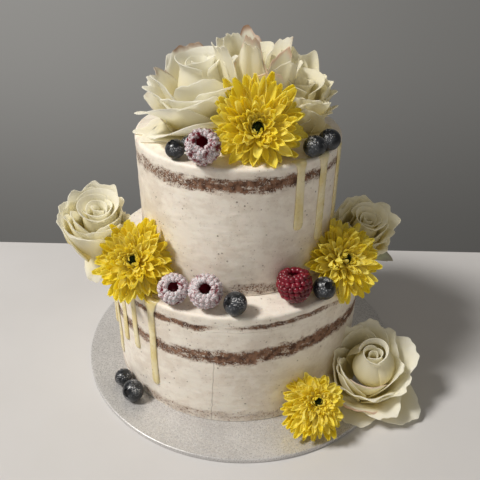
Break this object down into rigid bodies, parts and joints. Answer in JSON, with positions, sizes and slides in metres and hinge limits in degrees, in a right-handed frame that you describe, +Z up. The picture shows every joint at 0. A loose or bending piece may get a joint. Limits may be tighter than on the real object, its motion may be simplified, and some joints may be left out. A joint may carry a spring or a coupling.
{
  "type": "tiered wedding cake",
  "caption": "Round tiered sponge cake thinly coated in icing, with pale drips, berries, white roses and yellow chrysanthemums, on a round silver card.",
  "frame": {"origin": "centre of the flat underside of the round silver card", "axes": "+Z up through the tiers; the front with the chrysanthemums and berries faces -Y; +X to the right as seen from the front"},
  "size_m": [0.2816, 0.278, 0.2798],
  "materials": {
    "silver_foil": "finely embossed silver foil on card",
    "icing": "thin off-white icing, scraped smooth, with pale butter-yellow drips",
    "sponge": "brown open crumb under scraped icing",
    "white_petal": "soft cream-white petal",
    "yellow_petal": "soft lemon-yellow petal",
    "raspberry": "red fruit skin, some frosted with sugar",
    "blueberry": "near-black blue skin with pale bloom",
    "leaf": "soft grey-green leaf"
  },
  "bodies": {
    "root": {"silver_card": "silver_foil", "lower_icing_base": "icing", "lower_icing_middle": "icing", "lower_icing_top": "icing", "upper_icing_base": "icing", "upper_icing_top": "icing", "lower_sponge_band": "sponge", "lower_sponge_thin": "sponge", "upper_sponge_band": "sponge", "top_blueberry_1": "blueberry", "top_blueberry_2": "blueberry", "top_blueberry_3": "blueberry", "top_blueberry_4": "blueberry", "ledge_blueberry_1": "blueberry", "ledge_blueberry_2": "blueberry", "card_blueberry_1": "blueberry", "card_blueberry_2": "blueberry", "top_raspberry": "raspberry", "ledge_raspberry_1": "raspberry", "ledge_raspberry_2": "raspberry", "ledge_raspberry_3": "raspberry", "top_chrysanthemum": "yellow_petal", "left_chrysanthemum": "yellow_petal", "right_chrysanthemum": "yellow_petal", "card_chrysanthemum": "yellow_petal", "top_rose_left": "white_petal", "top_rose_middle": "white_petal", "top_rose_right": "white_petal", "left_rose": "white_petal", "right_rose": "white_petal", "card_rose": "white_petal", "right_rose_sepal": "leaf"}
  },
  "joints": []
}
